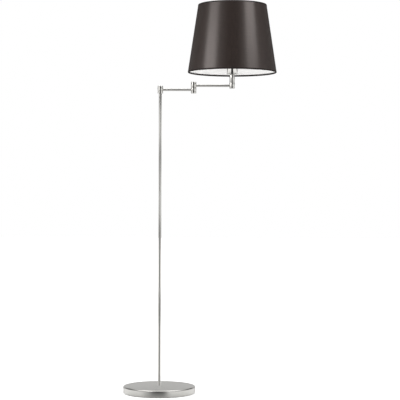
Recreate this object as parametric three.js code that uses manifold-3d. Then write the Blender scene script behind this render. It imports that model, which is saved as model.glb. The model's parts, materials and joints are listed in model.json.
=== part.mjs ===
// Pharmacy floor lamp with a swing arm: a weighted round base, a slim pole in three screwed sections,
// two horizontal arms on swivel hubs, and a tapered fabric shade round an E27 lampholder.
// Millimetres, +Z up. The origin is the centre of the base's underside, on the pole's axis.
// At rest both arms point along +X, and the mains cord leaves the base at the rear, along +Y.

import * as THREE from 'three';
import { mergeVertices } from 'three/addons/utils/BufferGeometryUtils.js';
import Module from 'manifold-3d';

const wasm = await Module();
wasm.setup();

// ---------------------------------------------------------------- driving dimensions

// base
const BASE_RADIUS = 150;
const BASE_HEIGHT = 30;
const BASE_FILLET = 5;
const SHELL_THICKNESS = 1.2;
const SHELL_RIM_Z = 1.5;
const PAD_RADIUS = 146.5;
const PAD_THICKNESS = 2.5;
const WEIGHT_RADIUS = 147;
const WEIGHT_TOP = 14;
const BOSS_RADIUS = 52;
const RECESS_RADIUS = 46;
const RECESS_CEILING = 20;
const CORD_HOLE_Z = 8.5;
const CORD_HOLE_RADIUS = 4.5;
const CLAMP_Y = 30;
const CLAMP_SCREW_SPREAD = 9;

// pole and arms
const POLE_RADIUS = 6;
const ARM_RADIUS = 5;
const TUBE_WALL = 1;
const LOWER_ARM_Z = 1257.7;
const UPPER_ARM_Z = 1275;
const LOWER_ARM_REACH = 138;
const UPPER_ARM_REACH = 159.5;

// swivel hubs
const HUB_RADIUS = 11;
const CAP_HEIGHT = 7.2;
const CAP_RECESS_RADIUS = 8.7;
const CAP_ROOF = 2.5;
const EDGE_BREAK = 0.5;
const SPINDLE_RADIUS = 4;
const SPINDLE_BORE = 2.8;
const SPINDLE_HEAD_RADIUS = 7.5;
const STOP_CIRCLE = 8.3;
const STOP_PIN_RADIUS = 0.9;
const STOP_PIN_STANDOUT = 1.5;
const STOP_TOOTH_HALF_ANGLE = THREE.MathUtils.degToRad(7.5);
const STOP_PIN_ANGLE = THREE.MathUtils.degToRad(270);
const WASHER_RADIUS = 6.4;
const WASHER_THICKNESS = 0.6;
const GRUB_SCREW_RADIUS = 1.3;

// head
const HEAD_KNUCKLE_HALF = 12;
const STEM_TOP = 1320.4;
const CUP_RADIUS = 21.5;
const CUP_HEIGHT = 46;
const NIPPLE_RADIUS = 4.7;
const NIPPLE_BORE = 3.2;
const HOLDER_RADIUS = 19.6;
const HOLDER_TOP = 1392;
const FITTER_Z = 1370;
const FITTER_RADIUS = 30;
const FITTER_THICKNESS = 1.5;
const RING_NUT_HEIGHT = 9;
const BULB_RADIUS = 30;
const BULB_CAP_RADIUS = 13.1;
const BULB_CAP_BOTTOM = 1358;

// shade
const SHADE_BOTTOM_Z = 1328.4;
const SHADE_TOP_Z = 1611;
const SHADE_BOTTOM_RADIUS = 184;
const SHADE_TOP_RADIUS = 142;
const COVER_THICKNESS = 1;
const LINER_THICKNESS = 0.8;
const RING_WIRE_RADIUS = 1.5;
const HEM_FLAP = 12;
const HEM_TUCK = 5;
const HEM_WRAP = THREE.MathUtils.degToRad(240);
const HEM_STEPS = 6;

// electrical lead, and the clearances between pieces that fit together
const LEAD_RADIUS = 2;
const FIT = 0.2;
const SEAM = 0.2;

// facets round a full turn
const SIDES_LARGE = 48;
const SIDES_HUB = 16;
const SIDES_TUBE = 12;
const SIDES_SMALL = 8;
const SIDES_LEAD = 8;

// ---------------------------------------------------------------- values worked out from them

const ARM_STEP = UPPER_ARM_Z - LOWER_ARM_Z;
const KNUCKLE_HALF = (ARM_STEP - SEAM) / 2;
const POLE_TOP = LOWER_ARM_Z - KNUCKLE_HALF - SEAM - CAP_HEIGHT;
const POLE_SOCKET_DEPTH = 5;
const POLE_SECTIONS = 3;
const SECTION_LENGTH = (POLE_TOP - BASE_HEIGHT) / POLE_SECTIONS;
const ELBOW_X = LOWER_ARM_REACH;
const HEAD_X = LOWER_ARM_REACH + UPPER_ARM_REACH;
const TUBE_START = 6.5;

// ---------------------------------------------------------------- materials

function finish(color, roughness, metalness) {
  return new THREE.MeshStandardMaterial({ color, roughness, metalness });
}

const nickel = () => finish(0xc9c8c4, 0.28, 1);
const steel = () => finish(0x9b9b98, 0.4, 1);
const brass = () => finish(0xb89a55, 0.35, 1);
const castIron = () => finish(0x3a3a3c, 0.8, 0.6);
const foam = () => finish(0x1d1d1e, 0.95, 0);
const rubber = () => finish(0x232323, 0.8, 0);
const whitePaint = () => finish(0xefefec, 0.45, 0);
const whitePlastic = () => finish(0xf2f1ed, 0.4, 0);
const leadSheath = () => finish(0xe6e5e0, 0.5, 0);
const opalGlass = () => finish(0xf6f5f0, 0.2, 0);
const darkFabric = () => finish(0x362e2b, 0.6, 0);
const whiteLiner = () => finish(0xf5f4f2, 0.6, 0);

// ---------------------------------------------------------------- shape helpers

// a body turned round +Z from an outline of [radius, height] points that runs anticlockwise
function turned(outline, sides) {
  const points = outline.map(([radius, height]) => new THREE.Vector2(radius, height));
  return new THREE.LatheGeometry(points, sides).rotateX(Math.PI / 2);
}

function disc(radius, low, high, sides) {
  return turned([[0, low], [radius, low], [radius, high], [0, high]], sides);
}

function ring(inner, outer, low, high, sides) {
  return turned([[inner, low], [outer, low], [outer, high], [inner, high], [inner, low]], sides);
}

// a ring whose outer edges are broken by a small chamfer
function bush(inner, outer, low, high, sides, edge = EDGE_BREAK) {
  return turned([
    [inner, low], [outer - edge, low], [outer, low + edge],
    [outer, high - edge], [outer - edge, high], [inner, high], [inner, low],
  ], sides);
}

// points on an arc, first and last included
function arc(centreR, centreZ, radius, from, to, steps) {
  return Array.from({ length: steps + 1 }, (_, i) => {
    const angle = from + (to - from) * i / steps;
    return [centreR + radius * Math.cos(angle), centreZ + radius * Math.sin(angle)];
  });
}

function block(sizeX, sizeY, low, high) {
  return new THREE.BoxGeometry(sizeX, sizeY, high - low).translate(0, 0, (low + high) / 2);
}

// a closed outline's corners, evenly spaced on a circle
function polygon(radius, sides) {
  return Array.from({ length: sides }, (_, i) => {
    const angle = Math.PI * 2 * i / sides;
    return new THREE.Vector2(radius * Math.cos(angle), radius * Math.sin(angle));
  });
}

function extruded(shape, low, high) {
  return new THREE.ExtrudeGeometry(shape, { depth: high - low, bevelEnabled: false }).translate(0, 0, low);
}

function hexNut(acrossFlats, bore, low, high) {
  const outline = new THREE.Shape(polygon(acrossFlats / Math.sqrt(3), 6));
  outline.holes.push(new THREE.Path(polygon(bore, SIDES_TUBE)));
  return extruded(outline, low, high);
}

// a rod or a drill along X, and one along Y
function rodX(radius, from, to, z, sides) {
  return disc(radius, from, to, sides).rotateY(Math.PI / 2).translate(0, 0, z);
}

function rodY(radius, from, to, z, sides) {
  return disc(radius, -to, -from, sides).rotateX(Math.PI / 2).translate(0, 0, z);
}

function toSolid(geometry) {
  const bare = geometry.clone();
  bare.deleteAttribute('normal');
  bare.deleteAttribute('uv');
  const merged = mergeVertices(bare, 1e-4);
  const index = merged.index.array;
  const corners = [];
  for (let i = 0; i < index.length; i += 3) {
    const [a, b, c] = [index[i], index[i + 1], index[i + 2]];
    if (a !== b && b !== c && c !== a) corners.push(a, b, c);
  }
  const vertProperties = Float32Array.from(merged.attributes.position.array);
  const triVerts = Uint32Array.from(corners);
  return new wasm.Manifold(new wasm.Mesh({ numProp: 3, vertProperties, triVerts }));
}

function toGeometry(solid) {
  const { numProp, vertProperties, triVerts } = solid.getMesh();
  const geometry = new THREE.BufferGeometry();
  const positions = new Float32Array(vertProperties.length / numProp * 3);
  for (let i = 0; i < positions.length / 3; i += 1) {
    positions.set(vertProperties.subarray(i * numProp, i * numProp + 3), i * 3);
  }
  geometry.setAttribute('position', new THREE.BufferAttribute(positions, 3));
  geometry.setIndex(new THREE.BufferAttribute(Uint32Array.from(triVerts), 1));
  geometry.computeVertexNormals();
  return geometry;
}

// body with every tool cut away from it
function cut(body, ...tools) {
  return toGeometry(tools.reduce((solid, tool) => solid.subtract(toSolid(tool)), toSolid(body)));
}

// a polyline whose own corners are the sections of a sweep
class StationPath extends THREE.Curve {
  constructor(stations) {
    super();
    this.stations = stations;
  }

  getPoint(t, target = new THREE.Vector3()) {
    const last = this.stations.length - 1;
    const place = Math.min(Math.max(t, 0), 1) * last;
    const index = Math.min(Math.floor(place), last - 1);
    return target.lerpVectors(this.stations[index], this.stations[index + 1], place - index);
  }

  getUtoTmapping(u) {
    return u;
  }
}

// a round lead through straight runs, each corner between them rounded to bendRadius
function lead(corners, bendRadius, bendSteps = 6) {
  const knots = corners.map((corner) => new THREE.Vector3(...corner));
  const stations = [knots[0]];
  for (let i = 1; i < knots.length - 1; i += 1) {
    const corner = knots[i];
    const [before, after] = [knots[i - 1], knots[i + 1]]
      .map((next) => corner.clone().lerp(next, bendRadius / corner.distanceTo(next)));
    stations.push(...new THREE.QuadraticBezierCurve3(before, corner, after).getPoints(bendSteps));
  }
  stations.push(knots[knots.length - 1]);
  const section = new THREE.Shape(polygon(LEAD_RADIUS, SIDES_LEAD));
  const extrudePath = new StationPath(stations);
  return new THREE.ExtrudeGeometry(section, { steps: stations.length - 1, extrudePath });
}

function add(group, name, geometry, material) {
  const mesh = new THREE.Mesh(geometry, material);
  mesh.name = name;
  group.add(mesh);
}

// ---------------------------------------------------------------- base

function buildBase(group) {
  const inner = BASE_RADIUS - SHELL_THICKNESS;
  const shellRoof = BASE_HEIGHT - SHELL_THICKNESS;
  const bore = NIPPLE_RADIUS + FIT;
  const filletR = BASE_RADIUS - BASE_FILLET;
  const filletZ = BASE_HEIGHT - BASE_FILLET;
  const shell = turned([
    [bore, shellRoof],
    ...arc(filletR, filletZ, BASE_FILLET - SHELL_THICKNESS, Math.PI / 2, 0, 3),
    [inner, SHELL_RIM_Z + 1],
    [inner - 0.6, SHELL_RIM_Z],
    [BASE_RADIUS - 0.9, SHELL_RIM_Z],
    [BASE_RADIUS, SHELL_RIM_Z + 1.2],
    ...arc(filletR, filletZ, BASE_FILLET, 0, Math.PI / 2, 4),
    [bore, BASE_HEIGHT],
    [bore, shellRoof],
  ], SIDES_LARGE);
  const cordHole = rodY(CORD_HOLE_RADIUS + FIT, BASE_RADIUS - 8, BASE_RADIUS + 4, CORD_HOLE_Z, SIDES_SMALL);
  add(group, 'base_shell', cut(shell, cordHole), nickel());

  const weightLow = PAD_THICKNESS + SEAM;
  const weight = turned([
    [bore, RECESS_CEILING],
    [RECESS_RADIUS, RECESS_CEILING],
    [RECESS_RADIUS, weightLow],
    [WEIGHT_RADIUS - 1, weightLow],
    [WEIGHT_RADIUS, weightLow + 1.3],
    [WEIGHT_RADIUS, WEIGHT_TOP - 2],
    [WEIGHT_RADIUS - 2, WEIGHT_TOP],
    [BOSS_RADIUS + 6, WEIGHT_TOP],
    [BOSS_RADIUS, WEIGHT_TOP + 6],
    [BOSS_RADIUS, shellRoof - SEAM],
    [bore, shellRoof - SEAM],
    [bore, RECESS_CEILING],
  ], SIDES_LARGE);
  const channelLength = 120;
  const channelWidth = 2 * CORD_HOLE_RADIUS + 1;
  const cordChannel = block(channelWidth, channelLength, -1, CORD_HOLE_Z + CORD_HOLE_RADIUS)
    .translate(0, RECESS_RADIUS - 5 + channelLength / 2, 0);
  const atClampScrew = (geometry, side) => geometry.translate(side * CLAMP_SCREW_SPREAD, CLAMP_Y, 0);
  const clampHoles = [-1, 1].map((side) => atClampScrew(disc(1.8, 12, 25, SIDES_SMALL), side));
  add(group, 'base_weight', cut(weight, cordChannel, ...clampHoles), castIron());

  const padEdge = 0.8;
  add(group, 'base_pad', turned([
    [0, 0],
    [PAD_RADIUS - padEdge, 0],
    [PAD_RADIUS, padEdge],
    [PAD_RADIUS, PAD_THICKNESS],
    [0, PAD_THICKNESS],
  ], SIDES_LARGE), foam());

  // bushing in the rear of the base, where the mains cord enters
  const grommetBore = 3.3;
  add(group, 'cord_outlet_grommet', turned([
    [grommetBore, -4], [CORD_HOLE_RADIUS, -4], [CORD_HOLE_RADIUS, 0.4],
    [CORD_HOLE_RADIUS + 1.8, 0.4], [CORD_HOLE_RADIUS + 1.3, 2], [grommetBore, 2], [grommetBore, -4],
  ], SIDES_SMALL).rotateX(-Math.PI / 2).translate(0, BASE_RADIUS, CORD_HOLE_Z), rubber());

  // cord anchorage and terminal block in the recess under the weight
  add(group, 'cord_clamp_bar', cut(
    block(25, 8, 9, 12).translate(0, CLAMP_Y, 0),
    ...[-1, 1].map((side) => atClampScrew(disc(1.8, 8, 13, SIDES_SMALL), side)),
  ), steel());
  ['cord_clamp_screw_left', 'cord_clamp_screw_right'].forEach((name, i) => {
    const outline = [[0, 6.6], [2.8, 6.6], [3, 7.2], [3, 8.8], [1.5, 8.8], [1.5, 24], [0, 24]];
    add(group, name, atClampScrew(turned(outline, SIDES_SMALL), 2 * i - 1), steel());
  });
  add(group, 'terminal_block', block(14, 26, 3.2, 15).translate(-27, 0, 0), whitePlastic());

  // the pole's foot: hollow threaded nipple, washer and nut under the weight
  const nipple = ring(NIPPLE_BORE, NIPPLE_RADIUS, 12, BASE_HEIGHT + 20, SIDES_TUBE);
  add(group, 'pole_foot_nipple', nipple, steel());
  const washerLow = RECESS_CEILING - SEAM - 2;
  add(group, 'pole_foot_washer', ring(bore, 14, washerLow, washerLow + 2, SIDES_TUBE), steel());
  add(group, 'pole_foot_nut', hexNut(16, bore, washerLow - SEAM - 4, washerLow - SEAM), steel());
}

// ---------------------------------------------------------------- pole

function buildPole(group) {
  const bore = POLE_RADIUS - TUBE_WALL;
  const names = ['pole_lower_section', 'pole_middle_section', 'pole_upper_section'];
  names.forEach((name, i) => {
    const low = BASE_HEIGHT + i * SECTION_LENGTH + SEAM / 2;
    const isLast = i === POLE_SECTIONS - 1;
    const seamHigh = BASE_HEIGHT + (i + 1) * SECTION_LENGTH - SEAM / 2;
    const high = isLast ? POLE_TOP + POLE_SOCKET_DEPTH - SEAM : seamHigh;
    add(group, name, ring(bore, POLE_RADIUS, low, high, SIDES_TUBE), nickel());
  });
  ['pole_lower_joiner', 'pole_upper_joiner'].forEach((name, i) => {
    const seam = BASE_HEIGHT + (i + 1) * SECTION_LENGTH;
    add(group, name, ring(NIPPLE_BORE, NIPPLE_RADIUS, seam - 15, seam + 15, SIDES_TUBE), steel());
  });
  const bend = 6;
  const leadZ = 6.5;
  const poleLead = lead([[-19.8, 0, leadZ], [0, 0, leadZ], [0, 0, LOWER_ARM_Z - 3]], bend);
  add(group, 'lead_in_pole', poleLead, leadSheath());
}

// ---------------------------------------------------------------- swivel hubs

// the annular groove, open below, in which a stop pin runs until it meets the tooth left standing
function stopGroove(low, high) {
  const tooth = STOP_PIN_ANGLE + Math.PI;
  const from = tooth + STOP_TOOTH_HALF_ANGLE;
  const to = tooth + Math.PI * 2 - STOP_TOOTH_HALF_ANGLE;
  const half = STOP_PIN_RADIUS + FIT;
  const outline = [
    ...arc(0, 0, STOP_CIRCLE + half, from, to, SIDES_HUB),
    ...arc(0, 0, STOP_CIRCLE - half, to, from, SIDES_HUB),
  ];
  return extruded(new THREE.Shape(outline.map(([x, y]) => new THREE.Vector2(x, y))), low, high);
}

function atStopPin(geometry) {
  const x = STOP_CIRCLE * Math.cos(STOP_PIN_ANGLE);
  const y = STOP_CIRCLE * Math.sin(STOP_PIN_ANGLE);
  return geometry.translate(x, y, 0);
}

function stopPin(low, high) {
  return atStopPin(disc(STOP_PIN_RADIUS, low, high, SIDES_SMALL));
}

function stopPinHole(low, high) {
  return atStopPin(disc(STOP_PIN_RADIUS + 0.1, low - SEAM, high, SIDES_SMALL));
}

function frictionWasher(low) {
  return ring(SPINDLE_RADIUS + FIT, WASHER_RADIUS, low, low + WASHER_THICKNESS, SIDES_TUBE);
}

// the socket for an arm's tube, side 1 towards +X or -1 towards -X, with a passage for the lead
function armSocket(side, z) {
  const socket = rodX(ARM_RADIUS + FIT, TUBE_START - FIT, HUB_RADIUS + 2, z, SIDES_TUBE);
  const passage = rodX(LEAD_RADIUS + 1, 0, TUBE_START, z, SIDES_TUBE);
  return [socket, passage].map((tool) => (side > 0 ? tool : tool.rotateZ(Math.PI)));
}

// the knuckle that turns: counterbored for its friction washer, grooved for the stop pin
function turningKnuckle(z, side) {
  const low = z - KNUCKLE_HALF;
  const body = bush(SPINDLE_RADIUS + FIT, HUB_RADIUS, low, z + KNUCKLE_HALF, SIDES_HUB);
  const washerSeat = disc(6.6, low - 1, low + 0.6, SIDES_HUB);
  return cut(body, washerSeat, stopGroove(low - 1, low + STOP_PIN_STANDOUT + 0.3), ...armSocket(side, z));
}

// closed cap whose recess covers the spindle's end; it opens downwards
function hubCap(low) {
  const roof = low + CAP_HEIGHT - CAP_ROOF;
  const high = low + CAP_HEIGHT;
  const edge = EDGE_BREAK * 2;
  return turned([
    [0, roof],
    [CAP_RECESS_RADIUS, roof],
    [CAP_RECESS_RADIUS, low],
    [HUB_RADIUS - EDGE_BREAK, low],
    [HUB_RADIUS, low + EDGE_BREAK],
    [HUB_RADIUS, high - edge],
    ...arc(HUB_RADIUS - edge, high - edge, edge, Math.PI / 8, Math.PI / 2, 3),
    [0, high],
  ], SIDES_HUB);
}

// window in a hollow spindle, through which the lead turns into the arm on that side
function leadWindow(side, z) {
  const width = 2 * LEAD_RADIUS + 1;
  return block(SPINDLE_RADIUS, width, z - 5, z + 5).translate(side * SPINDLE_RADIUS * 0.75, 0, 0);
}

function buildPoleHubFixed(group) {
  const seat = LOWER_ARM_Z - KNUCKLE_HALF - SEAM;
  const capLow = LOWER_ARM_Z + KNUCKLE_HALF + SEAM;
  const pinLow = seat - 4;

  const bore = SPINDLE_RADIUS + FIT;
  const poleBore = POLE_RADIUS + FIT;
  const socketTop = POLE_TOP + POLE_SOCKET_DEPTH;
  const collar = turned([
    [bore, socketTop],
    [poleBore, socketTop],
    [poleBore, POLE_TOP],
    [HUB_RADIUS - EDGE_BREAK * 2, POLE_TOP],
    [HUB_RADIUS, POLE_TOP + EDGE_BREAK * 2],
    [HUB_RADIUS, seat - EDGE_BREAK],
    [HUB_RADIUS - EDGE_BREAK, seat],
    [bore, seat],
    [bore, socketTop],
  ], SIDES_HUB);
  const screwZ = POLE_TOP + 2.6;
  const screwHole = rodY(1.5, POLE_RADIUS, HUB_RADIUS + 1, screwZ, SIDES_SMALL);
  add(group, 'pole_top_collar', cut(collar, screwHole, stopPinHole(pinLow, seat + 1)), nickel());
  const grubScrew = rodY(GRUB_SCREW_RADIUS, poleBore, HUB_RADIUS - 0.8, screwZ, SIDES_SMALL);
  add(group, 'collar_grub_screw', grubScrew, steel());
  add(group, 'pole_stop_pin', stopPin(pinLow, seat + STOP_PIN_STANDOUT), steel());

  const spindle = ring(SPINDLE_BORE, SPINDLE_RADIUS, POLE_TOP - 6, capLow + 4, SIDES_TUBE);
  add(group, 'pole_spindle', cut(spindle, leadWindow(1, LOWER_ARM_Z)), brass());
  add(group, 'pole_friction_washer', frictionWasher(seat + 0.1), whitePlastic());
  add(group, 'pole_spindle_nut', hexNut(13, bore, capLow + 0.2, capLow + 3.4), brass());
  add(group, 'pole_hub_cap', hubCap(capLow), nickel());
}

// ---------------------------------------------------------------- lower arm

function armTube(reach, z) {
  return ring(ARM_RADIUS - TUBE_WALL, ARM_RADIUS, TUBE_START, reach - TUBE_START, SIDES_TUBE)
    .rotateY(Math.PI / 2)
    .translate(0, 0, z);
}

function buildLowerArm(group) {
  add(group, 'pole_knuckle', turningKnuckle(LOWER_ARM_Z, 1), nickel());
  add(group, 'lower_arm_tube', armTube(LOWER_ARM_REACH, LOWER_ARM_Z), nickel());

  const bend = 5;
  add(group, 'lead_in_lower_arm', lead([
    [TUBE_START - 1, 0, LOWER_ARM_Z],
    [ELBOW_X, 0, LOWER_ARM_Z],
    [ELBOW_X, 0, UPPER_ARM_Z - 3],
  ], bend), leadSheath());

  const elbow = new THREE.Group();
  elbow.position.x = ELBOW_X;
  group.add(elbow);

  const low = LOWER_ARM_Z - KNUCKLE_HALF;
  const seat = LOWER_ARM_Z + KNUCKLE_HALF;
  const capLow = UPPER_ARM_Z + KNUCKLE_HALF + SEAM;
  const pinLow = seat - 2.6;
  const knuckle = bush(SPINDLE_RADIUS + FIT, HUB_RADIUS, low, seat, SIDES_HUB);
  const drilled = cut(knuckle, stopPinHole(pinLow, seat + 1), ...armSocket(-1, LOWER_ARM_Z));
  add(elbow, 'elbow_lower_knuckle', drilled, nickel());
  add(elbow, 'elbow_stop_pin', stopPin(pinLow, seat + SEAM + STOP_PIN_STANDOUT), steel());

  const bottomCap = hubCap(0).rotateX(Math.PI).translate(0, 0, low - SEAM);
  add(elbow, 'elbow_bottom_cap', bottomCap, nickel());

  const headHigh = low - 0.1;
  const headLow = headHigh - 2.4;
  const spindle = turned([
    [SPINDLE_BORE, headLow],
    [SPINDLE_HEAD_RADIUS, headLow],
    [SPINDLE_HEAD_RADIUS, headHigh],
    [SPINDLE_RADIUS, headHigh],
    [SPINDLE_RADIUS, capLow + 4],
    [SPINDLE_BORE, capLow + 4],
    [SPINDLE_BORE, headLow],
  ], SIDES_TUBE);
  const windows = [leadWindow(-1, LOWER_ARM_Z), leadWindow(1, UPPER_ARM_Z)];
  add(elbow, 'elbow_spindle', cut(spindle, ...windows), brass());
  add(elbow, 'elbow_friction_washer', frictionWasher(seat + 0.1), whitePlastic());
  add(elbow, 'elbow_spindle_nut', hexNut(13, SPINDLE_RADIUS + FIT, capLow + 0.2, capLow + 3.4), brass());
  add(elbow, 'elbow_top_cap', hubCap(capLow), nickel());
}

// ---------------------------------------------------------------- upper arm and head

function buildUpperArm(group) {
  add(group, 'elbow_upper_knuckle', turningKnuckle(UPPER_ARM_Z, 1), nickel());
  add(group, 'upper_arm_tube', armTube(UPPER_ARM_REACH, UPPER_ARM_Z), nickel());
  const bend = 5;
  add(group, 'lead_in_upper_arm', lead([
    [TUBE_START - 1, 0, UPPER_ARM_Z],
    [UPPER_ARM_REACH, 0, UPPER_ARM_Z],
    [UPPER_ARM_REACH, 0, STEM_TOP + 14],
  ], bend), leadSheath());
}

function buildHead(group) {
  const low = UPPER_ARM_Z - HEAD_KNUCKLE_HALF;
  const high = UPPER_ARM_Z + HEAD_KNUCKLE_HALF;
  const plugTop = low + 2;
  const bore = NIPPLE_RADIUS + FIT;

  add(group, 'head_bottom_plug', turned([
    [0, low],
    [HUB_RADIUS - 1, low],
    [HUB_RADIUS, low + 1],
    [HUB_RADIUS, plugTop - SEAM],
    [NIPPLE_RADIUS, plugTop - SEAM],
    [NIPPLE_RADIUS, plugTop + 4],
    [0, plugTop + 4],
  ], SIDES_HUB), nickel());
  const knuckle = bush(bore, HUB_RADIUS, plugTop, high - SEAM / 2, SIDES_HUB, 0.3);
  const screwZ = high - 3.4;
  const screwHole = rodY(1.5, 0, HUB_RADIUS + 1, screwZ, SIDES_SMALL);
  add(group, 'head_knuckle', cut(knuckle, screwHole, ...armSocket(-1, UPPER_ARM_Z)), nickel());
  const grubScrew = rodY(GRUB_SCREW_RADIUS, bore, HUB_RADIUS - 0.8, screwZ, SIDES_SMALL);
  add(group, 'head_grub_screw', grubScrew, steel());
  const stem = bush(8, HUB_RADIUS, high + SEAM / 2, STEM_TOP - SEAM, SIDES_HUB, 0.3);
  add(group, 'head_stem', stem, nickel());
  const nipple = ring(NIPPLE_BORE, NIPPLE_RADIUS, high - 6, STEM_TOP + 10, SIDES_TUBE);
  add(group, 'lampholder_nipple', nipple, steel());

  const cupInner = CUP_RADIUS - 1;
  const cupTop = STEM_TOP + CUP_HEIGHT;
  add(group, 'lampholder_cup', turned([
    [bore, STEM_TOP],
    [CUP_RADIUS - 2, STEM_TOP],
    ...arc(CUP_RADIUS - 2, STEM_TOP + 2, 2, -Math.PI / 3, 0, 2),
    [CUP_RADIUS, cupTop],
    [cupInner, cupTop],
    [cupInner, STEM_TOP + 2],
    [cupInner - 1, STEM_TOP + 1],
    [bore, STEM_TOP + 1],
    [bore, STEM_TOP],
  ], SIDES_HUB), nickel());
}

function buildLampholder(group) {
  const bore = NIPPLE_RADIUS + FIT;
  const baseLow = STEM_TOP + 1.3;
  const baseTop = baseLow + 24;
  const baseRadius = HOLDER_RADIUS - 1;
  add(group, 'lampholder_base', turned([
    [bore, baseLow],
    [14, baseLow],
    [baseRadius, baseLow + 6],
    [baseRadius, baseTop],
    [baseRadius - 2, baseTop],
    [baseRadius - 2, baseLow + 11],
    [bore, baseLow + 11],
    [bore, baseLow],
  ], SIDES_HUB), whitePlastic());

  // contact carrier and skirt in one moulding; the shade's ring rests on its flange
  const flangeLow = STEM_TOP + CUP_HEIGHT + 0.6;
  const flangeRadius = 24;
  const flangeTop = FITTER_Z - FITTER_THICKNESS / 2 - SEAM;
  const carrierLow = baseTop + SEAM;
  const carrierTop = BULB_CAP_BOTTOM - 6;
  const skirtBore = HOLDER_RADIUS - 4;
  add(group, 'lampholder_body', turned([
    [0, carrierLow],
    [baseRadius, carrierLow],
    [baseRadius, flangeLow],
    [flangeRadius, flangeLow],
    [flangeRadius, flangeTop],
    [HOLDER_RADIUS, flangeTop],
    [HOLDER_RADIUS, HOLDER_TOP - 1],
    [HOLDER_RADIUS - 1, HOLDER_TOP],
    [skirtBore, HOLDER_TOP],
    [skirtBore, carrierTop],
    [0, carrierTop],
  ], SIDES_HUB), whitePlastic());

  const shellLow = carrierTop + 0.3;
  const shellHigh = BULB_CAP_BOTTOM + 22;
  const shellBore = BULB_CAP_RADIUS + 0.5;
  add(group, 'lampholder_screw_shell', turned([
    [shellBore, shellLow],
    [shellBore + 1.6, shellLow],
    [shellBore + 0.7, shellLow + 1.5],
    [shellBore + 0.7, shellHigh],
    [shellBore, shellHigh],
    [shellBore, shellLow],
  ], SIDES_HUB), brass());
  add(group, 'lampholder_contact', block(5, 12, carrierTop + 0.2, carrierTop + 1.8), brass());

  const nutLow = FITTER_Z + FITTER_THICKNESS / 2 + SEAM;
  const nutHigh = nutLow + RING_NUT_HEIGHT;
  const nut = bush(HOLDER_RADIUS + 0.4, FITTER_RADIUS - 2, nutLow, nutHigh, SIDES_HUB * 2, 0.8);
  add(group, 'shade_ring_nut', nut, whitePlastic());
}

function buildBulb(group) {
  const capTop = BULB_CAP_BOTTOM + 24;
  const tipLow = BULB_CAP_BOTTOM - 3.8;
  const tip = [[0, tipLow], [3, tipLow], [4.5, tipLow + 1.4], [0, tipLow + 1.4]];
  add(group, 'bulb_tip_contact', turned(tip, SIDES_SMALL), brass());
  const insulatorLow = BULB_CAP_BOTTOM - 2.2;
  add(group, 'bulb_cap', turned([
    [0, insulatorLow],
    [5, insulatorLow],
    [10, BULB_CAP_BOTTOM],
    [BULB_CAP_RADIUS, BULB_CAP_BOTTOM + 2],
    [BULB_CAP_RADIUS, capTop],
    [0, capTop],
  ], SIDES_HUB), nickel());

  // pear-shaped envelope: neck, then a tangent flare into the globe
  const neckLow = capTop + SEAM;
  const globeZ = neckLow + 47;
  const neck = new THREE.CubicBezierCurve(
    new THREE.Vector2(13, neckLow),
    new THREE.Vector2(13.5, neckLow + 14),
    new THREE.Vector2(BULB_RADIUS * 0.86, globeZ - 24),
    new THREE.Vector2(BULB_RADIUS * Math.cos(0.32), globeZ - BULB_RADIUS * Math.sin(0.32)),
  ).getPoints(5).map((point) => [point.x, point.y]);
  const dome = arc(0, globeZ, BULB_RADIUS, 0, Math.PI / 2 * 0.9, 6);
  const outline = [[0, neckLow], ...neck, ...dome, [0, globeZ + BULB_RADIUS]];
  add(group, 'bulb_envelope', turned(outline, SIDES_HUB), opalGlass());
}

// ---------------------------------------------------------------- shade

// the wire rings' centres, and the wall's slope between them
const HEM_RADIUS = RING_WIRE_RADIUS + FIT + COVER_THICKNESS;
const BOTTOM_WIRE = new THREE.Vector2(SHADE_BOTTOM_RADIUS - HEM_RADIUS, SHADE_BOTTOM_Z + HEM_RADIUS);
const TOP_WIRE = new THREE.Vector2(SHADE_TOP_RADIUS - HEM_RADIUS, SHADE_TOP_Z - HEM_RADIUS);
const SLOPE = Math.atan2(BOTTOM_WIRE.x - TOP_WIRE.x, TOP_WIRE.y - BOTTOM_WIRE.y);

// a point set off from a wire's centre: out from the wall, and up along it
function offWall(wire, out, up) {
  return [
    wire.x + out * Math.cos(SLOPE) - up * Math.sin(SLOPE),
    wire.y + out * Math.sin(SLOPE) + up * Math.cos(SLOPE),
  ];
}

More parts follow.
